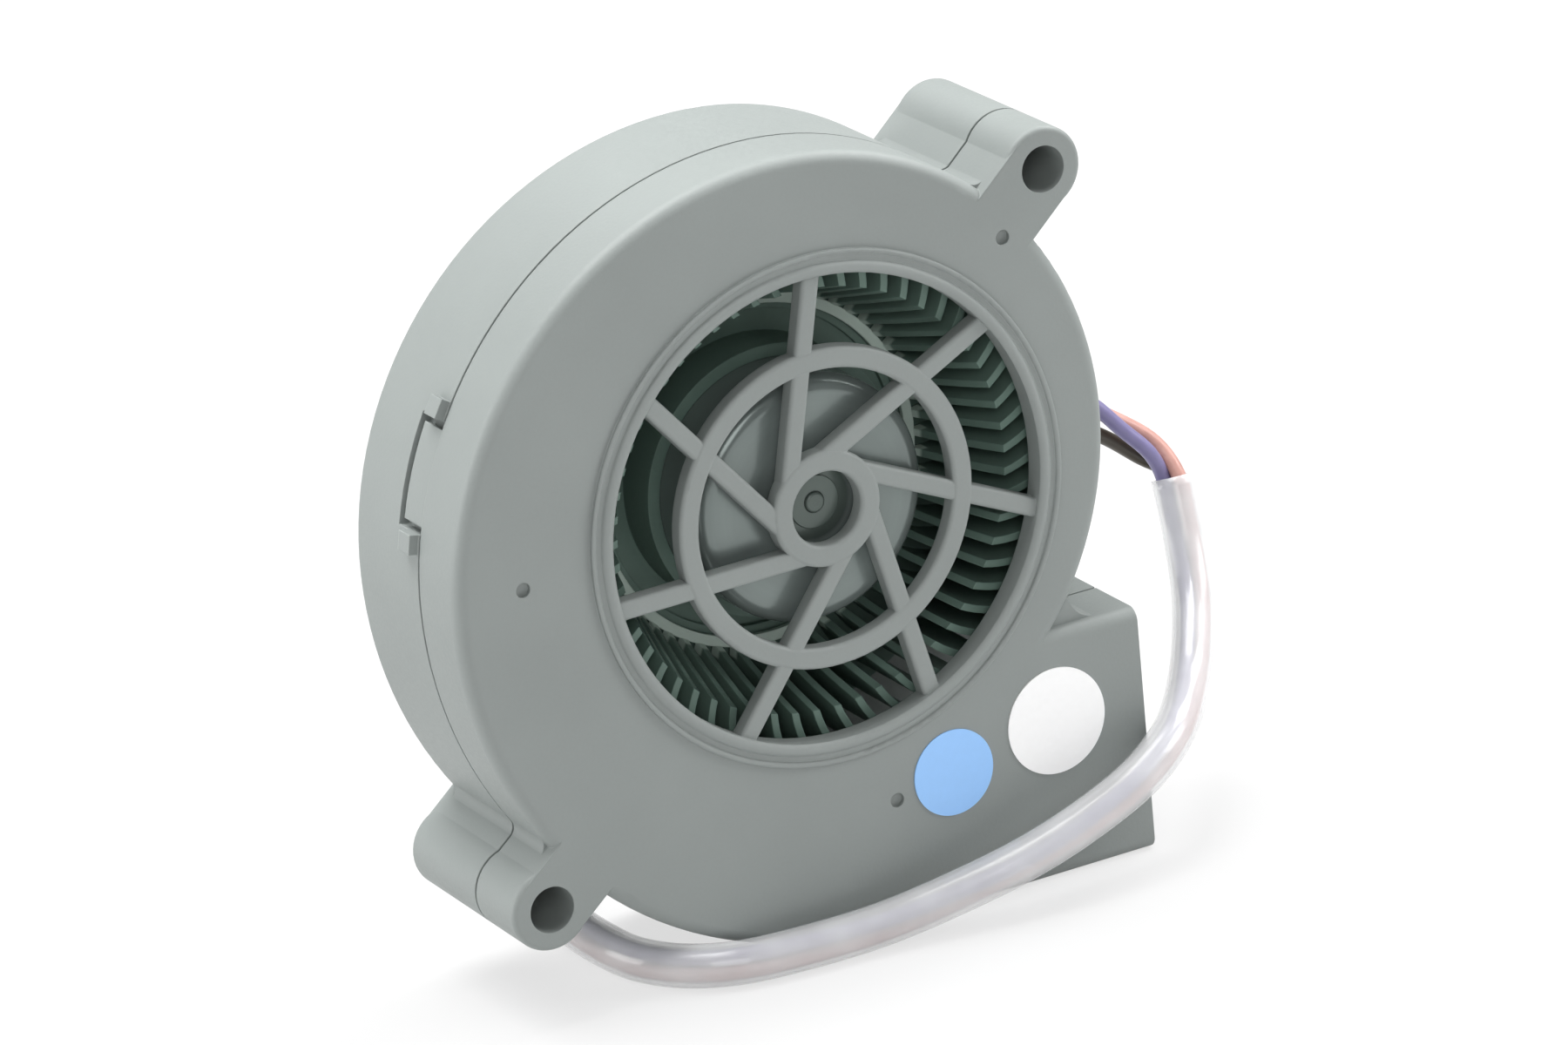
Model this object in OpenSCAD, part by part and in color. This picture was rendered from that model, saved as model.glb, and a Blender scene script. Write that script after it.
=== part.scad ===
// Centrifugal blower of a car: a scroll casing in two halves, a grille over the inlet,
// a forward-curved impeller on an outer-rotor motor, and a sleeved three-wire lead.
// Sizes are in millimetres. The fan axis is Y, the inlet faces -Y and Z is up.
// The origin is on the fan axis, in the plane of the rear mounting face.

/* [Casing] */
// Depth of the casing, from its front face to its rear face
casing_depth = 20.3; // [19:0.1:24]
// Depth of the front cover, from its face to the parting line
cover_depth = 7.5; // [6.5:0.1:9]
// Thickness of the side walls
wall = 1.6; // [1.4:0.1:2.2]
// Thickness of the cover's face
face_t = 1.8; // [1.4:0.1:2.2]
// Thickness of the rear floor
floor_t = 1.8; // [1.6:0.1:2.2]
// Rounding of the casing's outer edges
edge_r = 1.2; // [0.6:0.1:1.6]
// Growth of the scroll's radius in each quarter turn
scroll_step = 4.2; // [3.4:0.1:5]
// Gap between the impeller and the scroll wall, level with the axis on the outlet side
tongue_gap = 2.2; // [1.8:0.1:3]

/* [Outlet] */
// Distance from the fan axis to the outlet's end
outlet_reach = 31; // [29:0.5:33]
// Outer height of the outlet
outlet_height = 24; // [20:0.5:26]
// Rounding between the scroll and the top of the outlet
outlet_fillet = 2.8; // [1.5:0.1:3.5]

/* [Mounting bosses] */
// Outer diameter of a boss
boss_d = 7.9; // [7:0.1:9]
// Screw hole through a boss
boss_hole = 4.4; // [3.4:0.1:5.2]
// Distance of the upper boss from the scroll wall
upper_boss_out = 4.9; // [4:0.1:6]
// Direction of the upper boss
upper_boss_angle = 41.8; // [30:0.1:60]
// Distance of the lower boss from the scroll wall
lower_boss_out = 4.0; // [3.5:0.1:6]
// Direction of the lower boss
lower_boss_angle = 219.9; // [205:0.1:235]
// Rounding between a boss's arm and the scroll
boss_fillet = 1.2; // [0.8:0.1:2]

/* [Inlet grille] */
// Diameter of the inlet opening
inlet_d = 44; // [40:0.5:46]
// Width of the rounded bead round the inlet
bead_w = 2.2; // [1.6:0.1:2.8]
// Height of the bead above the face
bead_h = 0.6; // [0.3:0.1:0.9]
// Number of grille spokes
spoke_count = 7; // [5:1:9]
// Width of a spoke
spoke_w = 1.8; // [1.4:0.1:2.4]
// Distance at which the spokes pass the axis
spoke_offset = 4; // [3:0.1:4.4]
// Direction of the first spoke
spoke_angle = 78; // [60:0.5:100]
// Mean diameter of the grille's middle ring
ring_d = 28.2; // [24:0.2:32]
// Width of the middle ring
ring_w = 2; // [1.4:0.1:2.6]
// Hole in the grille's hub
hub_hole = 7; // [6:0.1:7.4]
// Width of the hub's rim
hub_w = 2; // [1.6:0.1:2.6]
// Depth of the grille's bars
grille_t = 1.6; // [1.2:0.1:1.8]
// Rounding of the bars' front edges
bar_r = 0.4; // [0.2:0.05:0.6]

/* [Impeller] */
// Diameter of the impeller
impeller_d = 51; // [48:0.5:54]
// Number of blades
blade_count = 57; // [41:1:61]
// Thickness of a blade
blade_t = 0.7; // [0.5:0.05:0.9]
// Radius of the blades' curve
blade_curve = 12; // [10:0.5:16]
// Radial length of a blade at its front tip
blade_tip = 5.5; // [4:0.1:7]
// Radial length of a blade at the disc
blade_root = 9.2; // [8:0.1:10]
// Thickness of the impeller's disc and hub
disc_t = 1.2; // [0.9:0.1:1.6]

/* [Motor] */
// Diameter of the rotor cup
cup_d = 23.4; // [22:0.1:25]
// Sheet thickness of the rotor cup
cup_t = 0.8; // [0.6:0.05:1]
// Depth of the rotor cup's front below the casing's face
cup_recess = 2.8; // [2.4:0.1:3.4]
// Thickness of the magnet ring
magnet_t = 1.7; // [1.3:0.1:2]
// Air gap between magnet and stator
air_gap = 0.3; // [0.2:0.05:0.5]
// Diameter of the shaft
shaft_d = 2; // [1.5:0.1:2.4]
// Outer diameter of the sleeve bearing
bearing_d = 5.2; // [4.6:0.1:5.6]
// Wall of the bearing tube
tube_t = 0.7; // [0.5:0.05:0.9]
// Width of a stator tooth
tooth_w = 2.2; // [1.8:0.1:2.6]
// Diameter of the circuit board
board_d = 19.4; // [18.6:0.2:20]
// Thickness of the circuit board
board_t = 1; // [0.8:0.1:1.2]

/* [Lead and stickers] */
// Diameter of a wire
wire_d = 1.45; // [1.2:0.05:1.5]
// Diameter of the sleeve over the wires
sleeve_d = 4.1; // [3.8:0.1:4.1]
// Diameter of the blue sticker
blue_d = 8.3; // [6:0.1:9]
// Diameter of the white sticker
white_d = 10.3; // [8:0.1:11]

/* [Hidden] */
$fn = 96;

// Colours
casing_grey = [0.57, 0.6, 0.58];
blade_grey = [0.16, 0.18, 0.17];
steel = [0.62, 0.63, 0.64];
dark_steel = [0.33, 0.34, 0.36];
brass = [0.78, 0.63, 0.3];
bronze = [0.6, 0.42, 0.25];
copper = [0.72, 0.4, 0.2];
natural_nylon = [0.9, 0.89, 0.83];
board_green = [0.1, 0.36, 0.2];

// Fits and small clearances
seat_gap = 0.02;
run_gap = 0.03;
cut = 1;
// How far a fillet bites into the outlines that it joins, so that they cross and don't only touch
bite = 0.02;

// Scroll: three quarter arcs whose centres step round a square
scroll_r0 = impeller_d / 2 + tongue_gap + wall;
arc_centre = [for (s = [[-1, 1], [-1, -1], [1, -1]]) s * scroll_step / 2];
arc_radius = [for (k = [0:2]) scroll_r0 + scroll_step * (k + 0.5)];
base_y = arc_centre[2].y - arc_radius[2];
outlet_top = base_y + outlet_height;
split_z = casing_depth - cover_depth;
cavity_z = casing_depth - face_t;
seam = 0.3;
lip_t = wall / 2 - 0.1;
lip_h = 1;
lip_room = 0.1;

// Bosses
boss_r = boss_d / 2;
upper_boss = arc_centre[0] + (arc_radius[0] + upper_boss_out) * dir(upper_boss_angle);
lower_boss = arc_centre[2] + (arc_radius[2] + lower_boss_out) * dir(lower_boss_angle);
boss_edge = 0.5;
bosses = [[0, upper_boss], [2, lower_boss]];
arm_inset = 0.3;
arm_half = boss_r - arm_inset;
fillet_drop = 0.2;

// Catches that hold the cover: a tongue of the cover in a pocket of the case, between two lugs
catch_arcs = [[1, 160], [0, 20]];
catch_length = 9;
catch_reach = 3.2;
catch_t = wall / 2;
catch_inset = 0.1;
catch_gap = 0.75;
lug_w = 1.8;
lug_h = 0.9;
lug_reach = 2.2;
lug_drop = 0.1;

// Marks of the mould on the cover's face, as distance outside the bead and direction
mark_d = 1.4;
mark_depth = 0.5;
marks = [[4.9, 46], [6.8, 179.3], [5.7, 278.3]];

// Bead around the inlet: its two ridges and its groove as shares of its width and height
bead_r = inlet_d / 2 + bead_w;
ridge_share = 0.3;
outer_share = 0.14;
outer_rise = 0.75;
groove_share = 0.25;
bead_trim = 0.1;

// Grille
ring_r = ring_d / 2;
hub_r = hub_hole / 2 + hub_w;
spoke_drop = 0.1;

// Wire channel in the rear face, with two tabs that keep the wires in it
channel_y = -2.5;
wire_slack = 0.05;
wire_pitch = wire_d + wire_slack;
tab_t = 0.5;
tab_w = 3;
tab_reach = 1.1;
tab_places = [13, 22];
channel_side = 0.15;
channel_depth = tab_t + wire_d + 2 * wire_slack;
channel_w = 2 * wire_pitch + wire_d + 2 * channel_side;
channel_wall = 1;
roof_z = channel_depth + channel_wall;
wire_z = tab_t + wire_slack + wire_d / 2;

// Rotor, from the floor to the grille
disc_gap = 1.1;
impeller_r = impeller_d / 2;
impeller_z = roof_z + disc_gap;
dish = 0.6;
root_r = impeller_r - blade_root;
tip_r = impeller_r - blade_tip;
tip_gap = 0.9;
tip_z = cavity_z - tip_gap;
tip_ring_w = 1.1;
root_ring_w = 1;
root_ring_h = 0.8;
first_blade = 4.5;
hub_height = 6;
cup_edge = 0.3;
cup_r = cup_d / 2;
cup_z = impeller_z + cup_edge;
cup_front = casing_depth - cup_recess;
cup_inner = cup_front - cup_t;
shoulder_r = 1.6;
hub_bore_r = cup_r + seat_gap;
magnet_r = cup_r - cup_t - seat_gap;
magnet_over = 1.5;
shaft_r = shaft_d / 2;
shaft_rise = 0.3;
collar_w = 1.5;
collar_r = shaft_r + collar_w;
collar_drop = 0.9;
collar_rise = 0.25;

// Bearing stack
tube_z = 0.8;
tube_room = 1.4;
tube_inner = bearing_d / 2 + seat_gap;
tube_outer = tube_inner + tube_t;
tube_top = cup_inner - tube_room;
pad_t = 0.5;
shaft_z = tube_z + pad_t + run_gap;
clip_room = 0.3;
clip_w = 0.9;
clip_slot = 0.5;
groove_z = shaft_z + clip_room;
groove_h = 0.5;
groove_depth = 0.25;
clip_t = groove_h - 2 * run_gap;
clip_r = shaft_r + clip_w;
bearing_z = groove_z + groove_h + clip_room;
washer_t = 0.4;
washer_w = 1.3;
washer_r = shaft_r + washer_w;
washer_room = 0.1;
bearing_top = tube_top - washer_t - washer_room;
holder_t = 1.5;
holder_r = tube_outer + seat_gap + holder_t;
shelf_w = 1.1;
shelf_r = holder_r + shelf_w;
channel_x = shelf_r + 0.4;
slot_length = 2.6;

// Board and stator
board_room = 0.2;
board_z = roof_z + board_room;
board_r = board_d / 2;
board_top = board_z + board_t;
stator_room = 3.4;
stator_r = magnet_r - magnet_t - air_gap;
stator_z = board_top + stator_room;
coil_end = 1.7;
coil_room = 2.2;
stator_top = cup_inner - coil_room - coil_end;
core_r = tube_outer + seat_gap;
yoke_t = 1.4;
yoke_r = core_r + yoke_t;
shoe_t = 1;
shoe_inner = stator_r - shoe_t;
slot_w = 1.9;
pole_count = 4;
pole_angles = [for (k = [0:pole_count - 1]) 360 * k / pole_count];
insulator_t = 0.6;
fence_h = coil_end - insulator_t;
fence_inset = 0.1;
fence_r0 = shoe_inner + fence_inset;
fence_r1 = stator_r - 2 * fence_inset;
coil_gap = 0.05;
coil_space = 0.25;
coil_r0 = yoke_r + coil_space;
coil_t = 1.3;
coil_side = tooth_w / 2 + coil_t;
coil_r1 = sqrt(shoe_inner * shoe_inner - coil_side * coil_side) - coil_gap;
coil_corner = 0.8;
holder_top = stator_z - insulator_t;
pin_d = 0.6;
pin_out = 1.6;
pin_r = yoke_r + pin_out;
pin_under = 0.1;
pin_arm = 1.6;
pin_angles = [45, 135, 225];
chip = [3, 2.6, 1];
hall = [2.2, 1.5, 0.9];
capacitor = [2, 1.25, 0.8];
part_r = 7.3;
capacitor_angles = [200, 250, 290];

// Stickers on the face, each at a distance outside the bead and a direction
sticker_t = 0.12;
blue_out = 6.1;
blue_angle = -70;
white_out = 9.9;
white_angle = -50.8;

// Sleeve's route, round the outlet and under the scroll to its far end behind the casing: distance
// from lead_x, depth in twentieths of the casing's depth, and height above the base
sleeve_shape = [
    [14.5, -3.7, 28.7], [14.4, -4.7, 26], [14.1, -5.9, 23.1], [12.7, -8.9, 19], [10.4, -12.3, 16.3],
    [7.4, -16, 13.8], [1.8, -21.9, 11.9], [-3.4, -24.4, 9.8], [-9.9, -25.4, 7.6], [-16.5, -25.2, 5.5],
    [-23.5, -24.2, 3.7], [-31, -23.3, 2.4], [-39, -22.7, 2.1], [-45.5, -21.6, 2.1], [-49.5, -19, 2.1],
    [-52, -15, 2.1], [-52.8, -10, 2.1], [-52.8, -4.2, 2.1], [-51.3, 1.7, 2.1], [-47, 6.9, 2.1],
    [-40.5, 10, 2.1], [-29, 10.8, 2.1]];
lead_out = 1.7;
lead_x = max(outlet_reach, scroll_r0 + lead_out);
sleeve_route = [for (p = sleeve_shape) [lead_x + p.x, p.y * casing_depth / 20, base_y + p.z]];
sleeve_start = sleeve_route[0];
sleeve_end = sleeve_route[len(sleeve_route) - 1];

// Wires: the bend from the board into the channel, the place where they leave the casing, the free
// bows to the sleeve as distances from its start, and the places in the sleeve's far end
wire_bend = [[0.2, 0.8], [1.4, 0], [8, 0]];
wire_exit = 0.1;
violet_bow = [[-12.4, 2.4, 11.9], [-8, 1.1, 9.4], [-4.8, 0.4, 5.9], [-2.3, -0.2, 3], [-0.9, -0.3, 0.6]];
red_bow = [[-12.4, 2.6, 10], [-8.1, 2.7, 8.5], [-4.2, 2.2, 6.2], [-0.7, 1.2, 3.2], [0.9, -0.1, 0.5]];
black_bow = [[-12.4, 2.6, 8.1], [-8.7, 2.9, 6.6], [-5.1, 3.1, 4.4], [-2, 2.6, 1.9], [-0.1, 1.3, 0]];
tail_offsets = [[-0.75, -0.45], [0, 0.85], [0.75, -0.45]];
solder_gap = 0.2;
tail_gap = 0.15;
tail_straight = 3;

// Connector behind the fan, on the surface that the casing stands on
connector = [11, 8.4, 5];
connector_out = 16;
connector_face = sleeve_end.x + connector_out;
connector_y = sleeve_end.y;
connector_wire_z = base_y + connector.z / 2;
terminal_pitch = 2.4;
terminal = 1.7;
terminal_t = 0.35;
terminal_depth = 7;
terminal_inset = 0.6;
crimp_length = 1.5;
grip_x = 3;
grip_w = 2.5;
grip_depth = 0.6;
latch = [3.4, 3, 0.9];
latch_edge = 4;

function dir(a) = [cos(a), sin(a)];
function unit(v) = v / norm(v);
function tangent(p, i) = unit(p[min(i + 1, len(p) - 1)] - p[max(i - 1, 0)]);

// Stands a shape drawn on its back upright, with its front towards -Y
module upright() {
    rotate([90, 0, 0]) children();
}

// Tube of diameter d swept along a list of points, with flat ends
module swept(points, d, sides) {
    count = len(points);
    rings = [for (i = [0:count - 1])
        let (t = tangent(points, i), u = unit(cross(t, [0.3, 0.5, 1])), v = cross(t, u))
        for (j = [0:sides - 1])
            points[i] + d / 2 * (cos(360 * j / sides) * u + sin(360 * j / sides) * v)];
    strips = [for (i = [0:count - 2], j = [0:sides - 1], half = [0, 1])
        let (a = i * sides + j, b = i * sides + (j + 1) % sides)
        half == 0 ? [a, a + sides, b + sides] : [a, b + sides, b]];
    start = [for (j = [0:sides - 1]) j];
    end = [for (j = [sides - 1:-1:0]) (count - 1) * sides + j];
    polyhedron(rings, concat([start], strips, [end]));
}

// Half outline of a round block, with rounded front and rear edges, to be revolved
module edge_profile(r, z0, z1, front, rear) {
    translate([0, z0 + rear]) square([r, z1 - z0 - front - rear]);
    translate([0, z0]) square([r - max(front, rear), z1 - z0]);
    if (front > 0) translate([r - front, z1 - front]) circle(front);
    if (rear > 0) translate([r - rear, z0 + rear]) circle(rear);
}

module ring(r0, r1, z0, z1) {
    translate([0, 0, z0]) difference() {
        cylinder(r = r1, h = z1 - z0);
        translate([0, 0, -cut]) cylinder(r = r0, h = z1 - z0 + 2 * cut);
    }
}

// Part of the scroll's outline: a sector of one of its arcs, drawn in by inset
module sector(k, from, turn, inset) {
    r = arc_radius[k] - inset;
    translate(arc_centre[k]) rotate(from) intersection() {
        circle(r);
        translate([turn > 90 ? -2 * r : 0, 0]) square([turn > 90 ? 4 * r : 2 * r, 2 * r]);
    }
}

// Outline of scroll and outlet, drawn in by inset, with the outlet ending at x = end
module scroll_outline(inset, end) {
    sector(0, -90, 180, inset);
    sector(1, 90, 90, inset);
    sector(2, 180, 90, inset);
    translate([0, base_y + inset]) square([end, outlet_height - 2 * inset]);
}

// Lays a shape along the arm that runs out from the centre of an arc to a boss
module along_arm(boss) {
    v = boss[1] - arc_centre[boss[0]];
    translate(arc_centre[boss[0]]) rotate(atan2(v.y, v.x)) children();
}

// Straight-sided arm that carries a boss, drawn in by inset
module arm(boss, inset) {
    half = arm_half - inset;
    along_arm(boss) translate([0, -half]) square([norm(boss[1] - arc_centre[boss[0]]), 2 * half]);
}

// Hollow fillets on both sides of a boss's arm, where it leaves the scroll
module arm_fillets(boss, inset) {
    side = arm_half + boss_fillet;
    reach = arc_radius[boss[0]] + boss_fillet;
    x = sqrt(reach * reach - side * side);
    along_arm(boss) difference() {
        polygon([[0, 0], [x, -side], [x, side]]);
        for (y = [-side, side]) translate([x, y]) circle(boss_fillet + inset + bite);
    }
}

// Hollow fillet between the top of the outlet and the scroll
module outlet_fillets(inset) {
    c = arc_centre[0];
    y = outlet_top + outlet_fillet;
    reach = arc_radius[0] + outlet_fillet;
    x = c.x + sqrt(reach * reach - (y - c.y) * (y - c.y));
    difference() {
        polygon([c, [c.x, outlet_top - cut], [x, outlet_top - cut], [x, y]]);
        translate([x, y]) circle(outlet_fillet + inset + bite);
    }
}

module fillets(inset) {
    for (b = bosses) arm_fillets(b, inset);
    outlet_fillets(inset);
}

// Outline of bosses, arms and fillets, drawn in by inset
module boss_outline(inset) {
    for (b = bosses) {
        arm(b, inset);
        translate(b[1]) circle(boss_r - inset);
    }
    fillets(inset);
}

// Solid block of the casing between two depths, with rounded front or rear edges
module casing_block(z0, z1, front, rear) {
    arcs = [[0, -90, 180], [1, 90, 90], [2, 180, 90]];
    for (a = arcs) translate(arc_centre[a[0]]) rotate(a[1])
        rotate_extrude(angle = a[2]) edge_profile(arc_radius[a[0]], z0, z1, front, rear);
    // The outlet, drawn end on: its top and bottom edges are rounded too
    rotate([90, 0, 90]) linear_extrude(outlet_reach) {
        middle = base_y + outlet_height / 2;
        for (side = [0, 1]) translate([middle, 0]) mirror([side, 0])
            edge_profile(outlet_height / 2, z0, z1, front, rear);
    }
    // The fillets end where the scroll's edges begin to round
    drop = [for (edge = [front, rear]) edge > 0 ? edge + fillet_drop : 0];
    translate([0, 0, z0 + drop[1]]) linear_extrude(z1 - z0 - drop[0] - drop[1]) fillets(0);
    for (b = bosses) {
        translate([0, 0, z0]) linear_extrude(z1 - z0) arm(b, 0);
        translate(b[1]) rotate_extrude()
            edge_profile(boss_r, z0, z1, min(front, boss_edge), min(rear, boss_edge));
    }
}

module boss_holes() {
    for (b = bosses) translate([b[1].x, b[1].y, -cut])
        cylinder(d = boss_hole, h = casing_depth + 2 * cut);
}

// A stretch of wall along one of the scroll's arcs, centred on a direction
module arc_strip(k, angle, length, r0, r1, z0, z1) {
    turn = length / arc_radius[k] * 180 / PI;
    translate(arc_centre[k]) rotate(angle - turn / 2) rotate_extrude(angle = turn)
        translate([r0, z0]) square([r1 - r0, z1 - z0]);
}

// The cover's tongues, a little inside its outer face
module catch_tongues() {
    for (c = catch_arcs) {
        r = arc_radius[c[0]];
        arc_strip(c[0], c[1], catch_length, r - catch_t, r - catch_inset, split_z - catch_reach,
            split_z + seam + cut);
    }
}

// The pockets that the tongues lie in
module catch_pockets() {
    for (c = catch_arcs) {
        r = arc_radius[c[0]];
        arc_strip(c[0], c[1], catch_length + 2 * catch_gap, r - catch_t - catch_gap / 3, r + cut,
            split_z - catch_reach - catch_gap, split_z + cut);
    }
}

// The pair of lugs at the ends of each pocket, which trims them
module catch_lugs() {
    for (c = catch_arcs, side = [-1, 1]) {
        r = arc_radius[c[0]];
        shift = side * (catch_length + catch_gap + lug_w) / 2 / r * 180 / PI;
        arc_strip(c[0], c[1] + shift, catch_gap + lug_w, r - wall / 2, r + lug_h, split_z - lug_reach,
            split_z - lug_drop);
    }
}

// Section of a grille bar, with rounded front edges
module bar_section(w) {
    translate([-w / 2, 0]) square([w, grille_t - bar_r]);
    translate([bar_r - w / 2, 0]) square([w - 2 * bar_r, grille_t]);
    for (side = [-1, 1]) translate([side * (w / 2 - bar_r), grille_t - bar_r]) circle(bar_r);
}

// A straight grille bar: it passes the hub to one side and runs out to the inlet's edge
module spoke(angle) {
    end = inlet_d / 2 + bead_w / 2;
    rotate(angle) translate([0, spoke_offset, casing_depth - grille_t - spoke_drop]) rotate([90, 0, 90])
        linear_extrude(sqrt(end * end - spoke_offset * spoke_offset)) bar_section(spoke_w);
}

module grille_ring(r, w) {
    rotate_extrude() translate([r, casing_depth - grille_t]) bar_section(w);
}

// Spokes that end in the hub's rim, a little lower than the rim and the middle ring
module grille() {
    difference() {
        for (k = [0:spoke_count - 1]) spoke(spoke_angle + 360 * k / spoke_count);
        cylinder(r = hub_r - hub_w / 2, h = casing_depth + cut);
    }
    grille_ring(hub_r - hub_w / 2, hub_w);
    grille_ring(ring_r, ring_w);
}

// Bead around the inlet: a rounded ridge and a finer one outside it, with a groove between them
module bead() {
    ridge_r = ridge_share * bead_w;
    outer_r = outer_share * bead_w;
    rotate_extrude() translate([inlet_d / 2, casing_depth]) intersection() {
        translate([0, -face_t / 2]) square([bead_w, face_t / 2 + 2 * bead_h]);
        union() {
            translate([0, -face_t / 2]) square([bead_w, face_t / 2 + groove_share * bead_h]);
            translate([ridge_r - bead_trim, bead_h - ridge_r]) circle(ridge_r);
            translate([bead_w - outer_r + bead_trim, outer_rise * bead_h - outer_r]) circle(outer_r);
        }
    }
}

// Front half of the casing, with inlet, grille and the front ends of the bosses
module front_cover() color(casing_grey) upright() {
    difference() {
        union() {
            casing_block(split_z + seam, casing_depth, edge_r, 0);
            translate([0, 0, split_z]) linear_extrude(seam + cut / 2) {
                scroll_outline(seam, outlet_reach - seam);
                boss_outline(seam);
            }
        }
        translate([0, 0, split_z - cut]) linear_extrude(cavity_z - split_z + cut)
            scroll_outline(wall, outlet_reach + cut);
        translate([0, 0, split_z - cut]) linear_extrude(lip_h + lip_room + cut)
            scroll_outline(wall - lip_t - run_gap, outlet_reach - wall);
        translate([0, 0, cavity_z - cut]) cylinder(d = inlet_d, h = face_t + 2 * cut);
        for (m = marks) rotate(m[1]) translate([bead_r + m[0], 0, casing_depth - mark_depth])
            cylinder(d = mark_d, h = mark_depth + cut);
        boss_holes();
    }
    bead();
    grille();
    catch_tongues();
}

// Rear half of the casing: scroll wall, floor, motor seat and the wire channel in its rear face
module rear_case() color(casing_grey) upright() {
    difference() {
        union() {
            difference() {
                casing_block(0, split_z, 0, edge_r);
                translate([0, 0, floor_t]) linear_extrude(casing_depth)
                    scroll_outline(wall, outlet_reach + cut);
            }
            translate([0, 0, split_z - cut / 2]) linear_extrude(lip_h + cut / 2) difference() {
                scroll_outline(wall - lip_t, outlet_reach - wall - run_gap);
                scroll_outline(wall, outlet_reach + cut);
            }
            cylinder(r = holder_r, h = holder_top);
            cylinder(r = shelf_r, h = board_z);
            catch_lugs();
            channel_roof();
        }
        catch_pockets();
        translate([0, 0, tube_z]) cylinder(r = tube_outer + seat_gap, h = casing_depth);
        channel_cut();
        boss_holes();
    }
    for (x = tab_places) translate([x, channel_y - channel_w / 2 - cut, 0])
        cube([tab_w, tab_reach + cut, tab_t]);
}

module channel_roof() {
    translate([0, channel_y - channel_w / 2 - channel_wall, 0])
        cube([scroll_r0 - wall / 2, channel_w + 2 * channel_wall, roof_z]);
}

module channel_cut() {
    translate([channel_x, channel_y - channel_w / 2, -cut]) {
        cube([scroll_r0, channel_w, channel_depth + cut]);
        cube([slot_length, channel_w, roof_z + 2 * cut]);
    }
}

// One forward-curved blade, seen from the front: a strip of a ring
module blade_outline() {
    translate([root_r, blade_curve]) intersection() {
        difference() {
            circle(blade_curve + blade_t / 2);
            circle(blade_curve - blade_t / 2);
        }
        translate([0, -blade_curve - blade_t]) square([blade_root + cut, blade_curve]);
    }
}

// Half section that trims the blades: straight outside, slanting inside
module blade_section() {
    foot = impeller_z + dish + disc_t / 2;
    polygon([[root_r, foot], [impeller_r, foot], [impeller_r, tip_z], [tip_r, tip_z]]);
}

// Blade ring, dished disc and hub, moulded in one
module impeller() color(blade_grey) upright() {
    disc_front = impeller_z + dish + disc_t;
    hub_r1 = hub_bore_r + disc_t;
    hub_top = impeller_z + hub_height;
    intersection() {
        for (i = [0:blade_count - 1]) rotate(first_blade + 360 * i / blade_count)
            translate([0, 0, impeller_z]) linear_extrude(tip_z - impeller_z) blade_outline();
        rotate_extrude() blade_section();
    }
    rotate_extrude() polygon([[hub_bore_r, impeller_z], [root_r, impeller_z], [root_r, impeller_z + dish],
        [impeller_r, impeller_z + dish], [impeller_r, disc_front],
        [root_r - disc_t, disc_front], [root_r - disc_t, impeller_z + disc_t],
        [hub_r1, impeller_z + disc_t], [hub_r1, hub_top], [hub_bore_r, hub_top]]);
    ring(root_r - root_ring_w / 2, root_r + root_ring_w / 2, disc_front - disc_t / 2,
        disc_front + root_ring_h);
    ring(impeller_r - tip_ring_w, impeller_r, tip_z - tip_ring_w, tip_z);
}

// Drawn steel cup that carries magnet, shaft and impeller
module rotor_cup() color(steel) upright() {
    difference() {
        union() {
            rotate_extrude() difference() {
                edge_profile(cup_r, cup_z, cup_front, shoulder_r, 0);
                edge_profile(cup_r - cup_t, cup_z - cut, cup_inner, shoulder_r - cup_t, 0);
            }
            translate([0, 0, cup_inner - collar_drop])
                cylinder(r = collar_r, h = cup_t + collar_drop + collar_rise);
        }
        translate([0, 0, cup_z]) cylinder(r = shaft_r + seat_gap, h = casing_depth);
    }
}

module rotor_magnet() color(dark_steel) upright()
    ring(magnet_r - magnet_t, magnet_r, stator_z - magnet_over, stator_top + magnet_over);

// Shaft with rounded ends and a groove for its clip
module shaft() color(steel) upright() {
    top = cup_front + collar_rise + shaft_rise;
    end_r = 0.3;
    rotate_extrude() difference() {
        edge_profile(shaft_r, shaft_z, top, end_r, end_r);
        translate([shaft_r - groove_depth, groove_z]) square([cut, groove_h]);
    }
}

module oil_washer() color(natural_nylon) upright()
    ring(shaft_r + seat_gap, washer_r, bearing_top + run_gap, bearing_top + run_gap + washer_t);

// Split ring in the shaft's groove
module shaft_clip() color(dark_steel) upright() difference() {
    ring(shaft_r - groove_depth + seat_gap, clip_r, groove_z + run_gap, groove_z + run_gap + clip_t);
    translate([0, -clip_slot / 2, groove_z]) cube([clip_r + cut, clip_slot, groove_h]);
}

module bearing_tube() color(brass) upright() ring(tube_inner, tube_outer, tube_z, tube_top);

// Sintered bush with chamfered mouths
module sleeve_bearing() color(bronze) upright() {
    bore = shaft_r + run_gap;
    mouth = 0.3;
    rotate_extrude() polygon([[bore, bearing_z + mouth], [bore + mouth, bearing_z],
        [bearing_d / 2, bearing_z], [bearing_d / 2, bearing_top], [bore + mouth, bearing_top],
        [bore, bearing_top - mouth]]);
}

module thrust_pad() color(natural_nylon) upright()
    translate([0, 0, tube_z]) cylinder(r = tube_inner - seat_gap, h = pad_t);

// Section of the laminated core: a ring with one tooth and shoe for each pole
module core_outline() {
    difference() {
        union() {
            circle(yoke_r);
            for (a = pole_angles) rotate(a) translate([0, -tooth_w / 2])
                square([stator_r - shoe_t / 2, tooth_w]);
            difference() {
                circle(stator_r);
                circle(shoe_inner);
                for (a = pole_angles) rotate(a + 180 / pole_count)
                    translate([0, -slot_w / 2]) square([stator_r + cut, slot_w]);
            }
        }
        circle(core_r);
    }
}

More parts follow.
